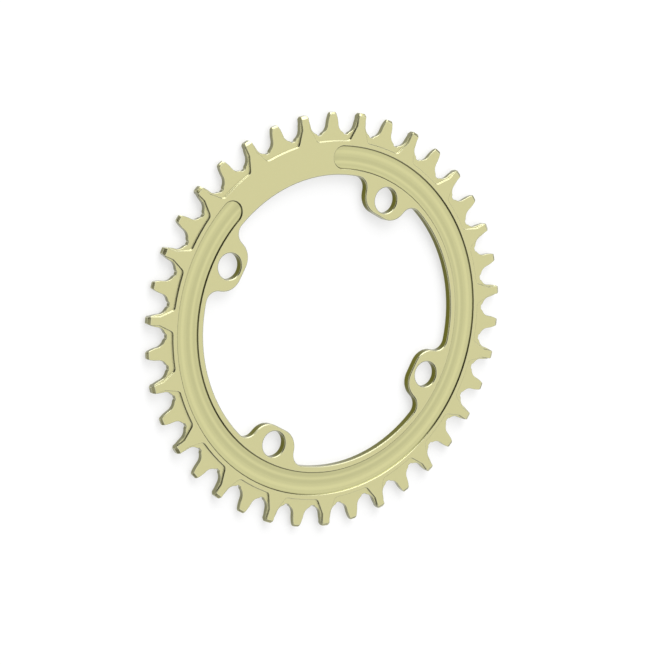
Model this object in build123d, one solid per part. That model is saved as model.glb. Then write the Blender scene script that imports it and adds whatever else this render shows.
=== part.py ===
from build123d import *
from math import asin, cos, hypot, pi, radians, sin, sqrt, tan
import os

# Chainring for a bicycle crank. Millimetres, flat on its back face, +Z out of the grooved front face,
# +Y through the bolt hole that is in line with a wide tooth.

# Chain and teeth
teeth = 38
chain_pitch = 12.7
seat_r = 3.9
relief_depth = 0.5
relief_half_width = 1.35
relief_floor_half = 0.7
flank_start_deg = 80.5
flank_r = 14.0
tip_rise = 4.15

# Thicknesses: the ring and every second tooth are wide, the teeth between them narrow
wide_t = 3.5
narrow_t = 2.0
wide_land_t = 1.9
wide_land_drop = 1.05
narrow_land_t = 1.1
narrow_land_drop = 0.8

# Raised face that carries the wide teeth: a round part inside the roller seats and a spoke for each tooth
raised_below_pitch = 6.85
raised_tip_half = 1.6
knee_below_pitch = 0.9
raised_knee_half = 1.65
raised_foot_slope = 0.42
raised_foot_round = 1.8

# Open centre and bolt tabs
bolt_circle_d = 104.0
bolt_count = 4
bolt_hole_d = 10.1
bore_past_bolts = 4.95
tab_reach = 6.75
tab_end_half = 8.15
tab_side_deg = 18.2
tab_shoulder_round = 7.5
tab_root_round = 4.7
edge_break = 0.3

# Face groove between two plain lips, open all round but for the plain pad
inner_lip_w = 2.3
outer_lip_w = 1.8
groove_wall = 0.6
groove_depth = 0.95
pad_from_deg = 114.2
pad_to_deg = 163.3

# How far shapes run past each other where they are joined or cut
lap = 1.0

first_wide_deg = 90
mid_z = wide_t / 2
pitch_r = chain_pitch / 2 / sin(pi / teeth)
tip_r = pitch_r + tip_rise
raised_r = pitch_r - raised_below_pitch
raised_knee_r = pitch_r - knee_below_pitch
bolt_r = bolt_circle_d / 2
bore_r = bolt_r + bore_past_bolts


def tooth_gap():
    """Space for one chain roller, on the +X axis: relief slot, roller seat and a rounded flank each side."""
    seat = Vector(pitch_r, 0)
    relief_edge = asin(relief_half_width / seat_r)
    start = radians(flank_start_deg)
    out_x = tip_r + lap

    def on_seat(angle, reach=seat_r):
        return seat + Vector(-cos(angle), sin(angle)) * reach

    flank_centre = on_seat(start, seat_r + flank_r)

    def on_flank(x):
        return Vector(x, flank_centre.Y - sqrt(flank_r**2 - (x - flank_centre.X) ** 2))

    def below(p):
        return Vector(p.X, -p.Y)

    half_way = (relief_edge + start) / 2
    upper = [
        (on_seat(relief_edge), on_seat(half_way), on_seat(start)),
        (on_seat(start), on_flank((on_seat(start).X + out_x) / 2), on_flank(out_x)),
    ]
    slot_corner = Vector(seat.X - seat_r - relief_depth, relief_floor_half)
    edges = [Polyline(on_seat(relief_edge), slot_corner, below(slot_corner), below(on_seat(relief_edge)))]
    edges += [ThreePointArc(*points) for points in upper]
    edges += [ThreePointArc(*(below(p) for p in points)) for points in upper]
    return make_face(edges + [Line(on_flank(out_x), below(on_flank(out_x)))])


def turned_blank(thick, land_t, land_drop, inner_r):
    """Turned disc whose rim is bevelled on both faces down to the land of the tooth tips."""
    half, land = thick / 2, land_t / 2
    rim = [(tip_r - land_drop, half), (tip_r, land), (tip_r, -land), (tip_r - land_drop, -half)]
    outline = Polyline((inner_r, half), *rim, (inner_r, -half), close=True)
    section = Plane.XZ * make_face(outline)
    return Pos(0, 0, mid_z) * revolve(section, Axis.Z)


def at_radius(shape, radius):
    return [v for v in shape.vertices() if abs(hypot(v.X, v.Y) - radius) < 0.02]


# Outline of all the teeth
gap_step = 360 / teeth
gaps = [Rot(0, 0, first_wide_deg + gap_step * (i + 0.5)) * tooth_gap() for i in range(teeth)]
tooth_outline = Circle(tip_r + lap / 2) - gaps

# Raised outline: the round face and its tapered spokes
foot_r = raised_r - 1.5 * lap
foot_half = raised_knee_half + (raised_knee_r - foot_r) * raised_foot_slope
spoke_half = [(foot_r, foot_half), (raised_knee_r, raised_knee_half), (tip_r + lap, raised_tip_half)]
spoke = make_face(Polyline(*spoke_half, *[(r, -half) for r, half in reversed(spoke_half)], close=True))
spokes = [Rot(0, 0, first_wide_deg + 2 * gap_step * i) * spoke for i in range(teeth // 2)]
raised_outline = Circle(raised_r) + spokes
raised_outline = fillet(at_radius(raised_outline, raised_r), raised_foot_round)

# Open centre with the bolt tabs standing into it
tab_end_r = bolt_r - tab_reach
tab_root_r = bore_r + lap
tab_root_half = tab_end_half + (tab_root_r - tab_end_r) * tan(radians(tab_side_deg))
tab_corners = [(tab_end_r, tab_end_half), (tab_root_r, tab_root_half)]
tab = make_face(Polyline(*tab_corners, *[(r, -half) for r, half in reversed(tab_corners)], close=True))
tab = fillet(at_radius(tab, hypot(tab_end_r, tab_end_half)), tab_shoulder_round)
tab_places = PolarLocations(0, bolt_count, start_angle=first_wide_deg)
centre_outline = Circle(bore_r) - [place * tab for place in tab_places]
centre_outline = fillet(at_radius(centre_outline, bore_r), tab_root_round)

# Hub: the band between the open centre and the teeth, with its edges broken
hub_r = raised_r - lap
hub_face = Circle(hub_r) - centre_outline
hub_face -= [place * Circle(bolt_hole_d / 2) for place in PolarLocations(bolt_r, bolt_count, first_wide_deg)]
hub = extrude(hub_face, wide_t)
face_edges = [e for e in hub.edges() if abs(e.center().Z - mid_z) > mid_z - 0.01]
hub = chamfer([e for e in face_edges if e.length < pi * hub_r], edge_break)

# Toothed rim: narrow plate all round, full thickness under the raised face
rim_inner_r = hub_r - lap
rim_hole = Circle(rim_inner_r)
narrow_rim = Pos(0, 0, mid_z - narrow_t / 2) * extrude(tooth_outline - rim_hole, narrow_t)
narrow_rim &= turned_blank(narrow_t, narrow_land_t, narrow_land_drop, rim_inner_r)
wide_rim = extrude((tooth_outline & raised_outline) - rim_hole, wide_t)
wide_rim &= turned_blank(wide_t, wide_land_t, wide_land_drop, rim_inner_r)
ring = hub + narrow_rim + wide_rim

# Face groove: a shallow dished channel with square walls and round ends
groove_inner_r = bore_r + inner_lip_w
groove_outer_r = raised_r - outer_lip_w
groove_mid_r = (groove_inner_r + groove_outer_r) / 2
groove_w = groove_outer_r - groove_inner_r
wall_z, floor_z = wide_t - groove_wall, wide_t - groove_depth


def groove_section(from_r):
    """Section across the groove, from the given radius to its outer wall."""
    top = wide_t + lap
    full = make_face(
        [
            Line((groove_inner_r, top), (groove_inner_r, wall_z)),
            ThreePointArc((groove_inner_r, wall_z), (groove_mid_r, floor_z), (groove_outer_r, wall_z)),
            Line((groove_outer_r, wall_z), (groove_outer_r, top)),
            Line((groove_outer_r, top), (groove_inner_r, top)),
        ]
    )
    window = Pos(from_r + groove_w / 2, wide_t) * Rectangle(groove_w, 2 * wide_t)
    return Plane.XZ * (full & window)


groove_sweep = 360 - (pad_to_deg - pad_from_deg)
channel = revolve(groove_section(groove_inner_r), Axis.Z, groove_sweep)
groove = Rot(0, 0, pad_to_deg) * channel
end_axis = Axis((groove_mid_r, 0, 0), (0, 0, 1))
round_end = revolve(groove_section(groove_mid_r), end_axis)
for end_deg in (pad_from_deg, pad_to_deg):
    groove += Rot(0, 0, end_deg) * round_end
ring -= groove

os.makedirs("parts", exist_ok=True)
export_step(ring, "parts/chainring.step")
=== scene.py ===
from math import cos, hypot, radians, sin

import bmesh
import bpy
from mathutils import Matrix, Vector


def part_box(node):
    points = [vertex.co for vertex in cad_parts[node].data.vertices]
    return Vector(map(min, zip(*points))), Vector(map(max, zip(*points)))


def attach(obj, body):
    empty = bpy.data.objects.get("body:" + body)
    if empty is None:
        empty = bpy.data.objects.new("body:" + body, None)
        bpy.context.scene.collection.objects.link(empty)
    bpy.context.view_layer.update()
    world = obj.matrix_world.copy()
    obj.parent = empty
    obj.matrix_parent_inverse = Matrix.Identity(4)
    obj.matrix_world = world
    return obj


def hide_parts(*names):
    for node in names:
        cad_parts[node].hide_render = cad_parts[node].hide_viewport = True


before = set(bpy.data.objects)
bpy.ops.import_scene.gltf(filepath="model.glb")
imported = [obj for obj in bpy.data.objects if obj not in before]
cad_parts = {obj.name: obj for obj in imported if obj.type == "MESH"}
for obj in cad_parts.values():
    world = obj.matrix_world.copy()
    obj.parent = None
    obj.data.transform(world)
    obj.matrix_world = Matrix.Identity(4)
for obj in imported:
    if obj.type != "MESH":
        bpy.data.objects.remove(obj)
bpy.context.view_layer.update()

# Chainring: one piece, turned and milled from aluminium plate, then anodised pale champagne.
# The cutters leave crisp walls, and tumbling takes every sharp edge down to a fine round.
# The two faces are blasted matt, the dished groove is turned, and the walls are milled. The walls carry
# painted shade and the rounded edges a painted highlight in their colours.

MM = 0.001
ring_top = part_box("chainring")[1].z
groove_inner_r, groove_outer_r = 59.2 * MM, 68.3 * MM
groove_low, groove_high = 0.4 * ring_top, ring_top - 0.1 * MM
groove_foot_low = 0.6 * ring_top
tip_from_r = 79.9 * MM

same_point, same_plane_deg = 0.001 * MM, 0.2
shortest_edge = 0.15 * MM
sliver_point, sliver_edge = 0.01 * MM, 0.005 * MM
sharp_from_deg = 28
tip_round, groove_foot_round, edge_round = 0.35 * MM, 0.35 * MM, 0.2 * MM
corner_steps, edge_steps = 3, 2
face_weight = 80

FACE, GROOVE, WALL, BORE, EDGE = range(5)


def ring_mesh():
    """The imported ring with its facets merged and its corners, groove feet and edges rounded."""
    bm = bmesh.new()
    bm.from_mesh(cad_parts["chainring"].data)
    bmesh.ops.remove_doubles(bm, verts=bm.verts, dist=same_point)
    bmesh.ops.dissolve_limit(bm, angle_limit=radians(same_plane_deg), verts=bm.verts, edges=bm.edges)
    short_ends = {v for e in bm.edges if e.calc_length() < shortest_edge for v in e.verts}
    bmesh.ops.remove_doubles(bm, verts=list(short_ends), dist=shortest_edge)
    bm.normal_update()
    for face in bm.faces:
        face.material_index = finish_of(face)
    # The rounded tip corners and groove feet take the walls' painted-shade colour, which draws the
    # groove's feet as dark lines. The rounded edges take the edges' painted-highlight colour.
    round_off(bm, is_tip_corner, tip_round, corner_steps, WALL)
    round_off(bm, is_groove_foot, groove_foot_round, corner_steps, WALL)
    round_off(bm, is_sharp, edge_round, edge_steps, EDGE)
    bmesh.ops.remove_doubles(bm, verts=bm.verts, dist=sliver_point)
    bmesh.ops.dissolve_degenerate(bm, dist=sliver_edge, edges=bm.edges)
    for face in bm.faces:
        face.smooth = True
    mesh = bpy.data.meshes.new("chainring_finished")
    bm.to_mesh(mesh)
    bm.free()
    return mesh


def finish_of(face):
    """Which tool left this face, told from the way it looks and where it is. The walls it picks get
    painted shade, and those inside the groove's inner edge get the darkest.
    """
    middle = face.calc_center_median()
    radius = hypot(middle.x, middle.y)
    if groove_inner_r < radius < groove_outer_r and groove_low < middle.z < groove_high:
        dish_slope = 0.7
        return GROOVE if face.normal.z > dish_slope else WALL
    bevel_slope = 0.6
    if abs(face.normal.z) > bevel_slope:
        return FACE
    # Walls inside the groove's inner edge take the darkest painted shade.
    return BORE if radius < groove_inner_r else WALL


def round_off(bm, is_chosen, radius, steps, finish_index):
    bmesh.ops.bevel(
        bm, geom=[e for e in bm.edges if is_chosen(e)], offset=radius, offset_type="OFFSET",
        affect="EDGES", segments=steps, profile=0.5, clamp_overlap=True, material=finish_index,
    )


def is_sharp(edge):
    return edge.is_manifold and edge.calc_face_angle() > radians(sharp_from_deg)


def is_tip_corner(edge):
    """Where a tooth's upright flank meets the land or bevel of its tip, which looks outward."""
    if not is_sharp(edge):
        return False
    middle = edge_middle(edge)
    outward = Vector((middle.x, middle.y, 0)).normalized()
    land_look, flank_rise = 0.4, 0.1
    looks = [face.normal.dot(outward) for face in edge.link_faces]
    has_flank = any(
        abs(face.normal.z) < flank_rise and look < land_look
        for face, look in zip(edge.link_faces, looks)
    )
    return hypot(middle.x, middle.y) > tip_from_r and max(looks) > land_look and has_flank


def is_groove_foot(edge):
    """Where the dished floor of the groove meets its walls."""
    if not is_sharp(edge) or edge.is_convex:
        return False
    middle = edge_middle(edge)
    radius = hypot(middle.x, middle.y)
    return groove_inner_r < radius < groove_outer_r and groove_foot_low < middle.z < ring_top


def edge_middle(edge):
    return (edge.verts[0].co + edge.verts[1].co) / 2


def finish(name, base, roughness, sheen, skin=1):
    """Dyed anodising: metal in the given colour under a clear oxide skin, all set on the shader. For
    the walls and edges that colour also holds painted shade or a painted highlight.
    """
    material = bpy.data.materials.new(name)
    material.use_nodes = True
    shader = material.node_tree.nodes["Principled BSDF"]
    shader.inputs["Base Color"].default_value = (*base, 1)
    shader.inputs["Metallic"].default_value = 1
    shader.inputs["Roughness"].default_value = roughness
    shader.inputs["Coat Weight"].default_value = skin
    shader.inputs["Coat IOR"].default_value = 1.75
    shader.inputs["Coat Roughness"].default_value = sheen
    return material, material.node_tree, shader


def add_grain(tree, size, detail):
    """Even grain of one size, fixed to the ring; gives the texture's height."""
    place = tree.nodes.new("ShaderNodeTexCoord")
    grain = tree.nodes.new("ShaderNodeTexNoise")
    grain.inputs["Scale"].default_value = 1 / size
    grain.inputs["Detail"].default_value = detail
    tree.links.new(place.outputs["Object"], grain.inputs["Vector"])
    return grain.outputs["Fac"]


def add_bump(tree, shader, height, strength, depth):
    bump = tree.nodes.new("ShaderNodeBump")
    bump.inputs["Strength"].default_value = strength
    bump.inputs["Distance"].default_value = depth
    tree.links.new(height, bump.inputs["Height"])
    tree.links.new(bump.outputs["Normal"], shader.inputs["Normal"])


def blasted_face():
    """Fine bead-blast grain, under half a millimetre across."""
    colour = (0.42, 0.40, 0.17)
    material, tree, shader = finish("anodised_blasted_face", colour, roughness=0.36, sheen=0.3)
    add_bump(tree, shader, add_grain(tree, size=0.4 * MM, detail=4), strength=0.8, depth=0.025 * MM)
    return material


def turned_groove_painted_streaks():
    """Soft concentric tool lines in the bump, read from the distance to the ring's own axis. The same
    bands paint dark and pale streaks into the colour: painted reflections of the dished floor.
    """
    middle_colour = (0.40, 0.38, 0.15)
    painted_dark_streak, painted_pale_streak = (0.345, 0.335, 0.13), (0.43, 0.415, 0.17)
    dark_at, pale_at = 0.35, 0.65
    line_width = 2.4 * MM
    material, tree, shader = finish("anodised_turned_groove", middle_colour, roughness=0.32, sheen=0.25)
    place = tree.nodes.new("ShaderNodeTexCoord")
    split = tree.nodes.new("ShaderNodeSeparateXYZ")
    level = tree.nodes.new("ShaderNodeCombineXYZ")
    radius = tree.nodes.new("ShaderNodeVectorMath")
    radius.operation = "LENGTH"
    lines = tree.nodes.new("ShaderNodeTexNoise")
    lines.noise_dimensions = "1D"
    lines.inputs["Scale"].default_value = 1 / line_width
    lines.inputs["Detail"].default_value = 3
    streak_paint = tree.nodes.new("ShaderNodeValToRGB")
    dark_stop, pale_stop = streak_paint.color_ramp.elements
    dark_stop.position, dark_stop.color = dark_at, (*painted_dark_streak, 1)
    pale_stop.position, pale_stop.color = pale_at, (*painted_pale_streak, 1)
    tree.links.new(place.outputs["Object"], split.inputs[0])
    tree.links.new(split.outputs["X"], level.inputs["X"])
    tree.links.new(split.outputs["Y"], level.inputs["Y"])
    tree.links.new(level.outputs[0], radius.inputs[0])
    tree.links.new(radius.outputs["Value"], lines.inputs["W"])
    tree.links.new(lines.outputs["Fac"], streak_paint.inputs["Fac"])
    tree.links.new(streak_paint.outputs["Color"], shader.inputs["Base Color"])
    add_bump(tree, shader, lines.outputs["Fac"], strength=1, depth=0.08 * MM)
    return material


def cutter_marked(name, colour, roughness, skin, mark_size):
    """A smooth cut surface with the faintest waviness, as wide as the marks of the cutter."""
    material, tree, shader = finish(name, colour, roughness, sheen=0.1, skin=skin)
    add_bump(tree, shader, add_grain(tree, mark_size, detail=2), strength=0.15, depth=0.01 * MM)
    return material


def milled_wall_painted_shade():
    """Tooth flanks, pocket walls and the steps of the groove, coloured far darker than the faces:
    painted shade standing in for the dark reflections of the walls.
    """
    return cutter_marked("anodised_milled_wall", (0.18, 0.174, 0.045), 0.18, 0.85, 0.6 * MM)


def bored_wall_painted_shade():
    """The open centre, the tabs and the bolt holes, coloured darkest of all: painted shade standing in
    for the dark reflections of these walls.
    """
    return cutter_marked("anodised_bored_wall", (0.14, 0.137, 0.007), 0.18, 0.08, 0.6 * MM)


def tumbled_edge_painted_glint():
    """The rounded edges, coloured paler and whiter than the faces: a painted highlight that whitens the
    glints they catch.
    """
    return cutter_marked("anodised_tumbled_edge", (0.44, 0.43, 0.24), 0.2, 1, 0.4 * MM)


ring_data = ring_mesh()
for make_finish in (blasted_face, turned_groove_painted_streaks, milled_wall_painted_shade, bored_wall_painted_shade, tumbled_edge_painted_glint):
    ring_data.materials.append(make_finish())
chainring = bpy.data.objects.new("chainring_finished", ring_data)
bpy.context.scene.collection.objects.link(chainring)
level_faces = chainring.modifiers.new("level_faces", "WEIGHTED_NORMAL")
level_faces.mode = "FACE_AREA"
level_faces.weight = face_weight
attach(chainring, "root")
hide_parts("chainring")

# Table: a plain white board just under the ring. Where it is seen, in the picture or in the metal,
# part of it is plain white whatever falls on it, so that the ring's shadow stays pale.

table_half = 3.0
table_drop = 0.02 * MM
shadow_lift = 0.6

table_corners = [
    (x * table_half, y * table_half, 0) for x, y in ((-1, -1), (1, -1), (1, 1), (-1, 1))
]
table_mesh = bpy.data.meshes.new("table")
table_mesh.from_pydata(table_corners, [], [(0, 1, 2, 3)])
table = bpy.data.objects.new("table", table_mesh)
table.location.z = -table_drop
bpy.context.scene.collection.objects.link(table)
table_paint = bpy.data.materials.new("table_white")
table_paint.use_nodes = True
paint_nodes, paint_links = table_paint.node_tree.nodes, table_paint.node_tree.links
paint = paint_nodes["Principled BSDF"]
paint.inputs["Base Color"].default_value = (1, 1, 1, 1)
paint.inputs["Roughness"].default_value = 1
paint.inputs["Specular IOR Level"].default_value = 0
ray = paint_nodes.new("ShaderNodeLightPath")
seen = paint_nodes.new("ShaderNodeMath")
seen_through = paint_nodes.new("ShaderNodeMath")
seen_through.use_clamp = True
lift = paint_nodes.new("ShaderNodeMath")
lift.operation = "MULTIPLY"
lift.inputs[1].default_value = shadow_lift
white = paint_nodes.new("ShaderNodeEmission")
lifted = paint_nodes.new("ShaderNodeMixShader")
paint_links.new(ray.outputs["Is Camera Ray"], seen.inputs[0])
paint_links.new(ray.outputs["Is Glossy Ray"], seen.inputs[1])
paint_links.new(seen.outputs[0], seen_through.inputs[0])
paint_links.new(ray.outputs["Is Transmission Ray"], seen_through.inputs[1])
paint_links.new(seen_through.outputs[0], lift.inputs[0])
paint_links.new(lift.outputs[0], lifted.inputs["Fac"])
paint_links.new(paint.outputs[0], lifted.inputs[1])
paint_links.new(white.outputs[0], lifted.inputs[2])
paint_links.new(lifted.outputs[0], paint_nodes["Material Output"].inputs["Surface"])
table_mesh.materials.append(table_paint)

# Sky: a dim level all round and four soft lights. The overhead one lies in the mirror of the face
# and the low window draws the bright edges. The side behind the camera stays dim, so that the
# near walls read dark. Each light has the side and height of its middle in degrees, the cosines
# from the middle at which it starts and is full, and its strength.

sky_floor = 0.06
sky_lights = {
    "overhead": (30, 60, 0.60, 0.93, 1.42),
    "window": (110, 18, 0.743, 0.978, 5.0),
    "fill": (-125, 42, 0.80, 0.97, 0.6),
    "low_fill": (-45, 12, 0.75, 0.97, 0.6),
}

sky = bpy.data.worlds.new("studio_sky")
sky.use_nodes = True
sky_nodes, sky_links = sky.node_tree.nodes, sky.node_tree.links
way = sky_nodes.new("ShaderNodeTexCoord")
level = None
for side_deg, height_deg, starts_at, full_at, strength in sky_lights.values():
    side, height = radians(side_deg), radians(height_deg)
    toward = sky_nodes.new("ShaderNodeVectorMath")
    toward.operation = "DOT_PRODUCT"
    toward.inputs[1].default_value = (cos(height) * cos(side), cos(height) * sin(side), sin(height))
    ramp = sky_nodes.new("ShaderNodeMapRange")
    ramp.interpolation_type = "SMOOTHSTEP"
    ramp.inputs["From Min"].default_value = starts_at
    ramp.inputs["From Max"].default_value = full_at
    ramp.inputs["To Max"].default_value = strength
    total = sky_nodes.new("ShaderNodeMath")
    total.inputs[1].default_value = sky_floor
    sky_links.new(way.outputs["Generated"], toward.inputs[0])
    sky_links.new(toward.outputs["Value"], ramp.inputs["Value"])
    sky_links.new(ramp.outputs["Result"], total.inputs[0])
    if level:
        sky_links.new(level, total.inputs[1])
    level = total.outputs[0]
sky_links.new(level, sky_nodes["Background"].inputs["Strength"])
sky_nodes["Background"].inputs["Color"].default_value = (1, 1, 1, 1)
bpy.context.scene.world = sky

# Camera: at the photograph's viewing angle, looking down on the face from 35 degrees off its
# normal, with the ring in the same part of the picture.

camera_place = (-0.63962, -0.12003, 0.94056)
camera_turn_deg = (-11.0085, -33.3051, 29.8067)
camera_lens = 160.14

camera_data = bpy.data.cameras.new("camera")
camera_data.lens = camera_lens
camera = bpy.data.objects.new("camera", camera_data)
camera.location = camera_place
camera.rotation_euler = [radians(turn) for turn in camera_turn_deg]
bpy.context.scene.collection.objects.link(camera)
bpy.context.scene.camera = camera
bpy.context.scene.view_settings.view_transform = "Standard"
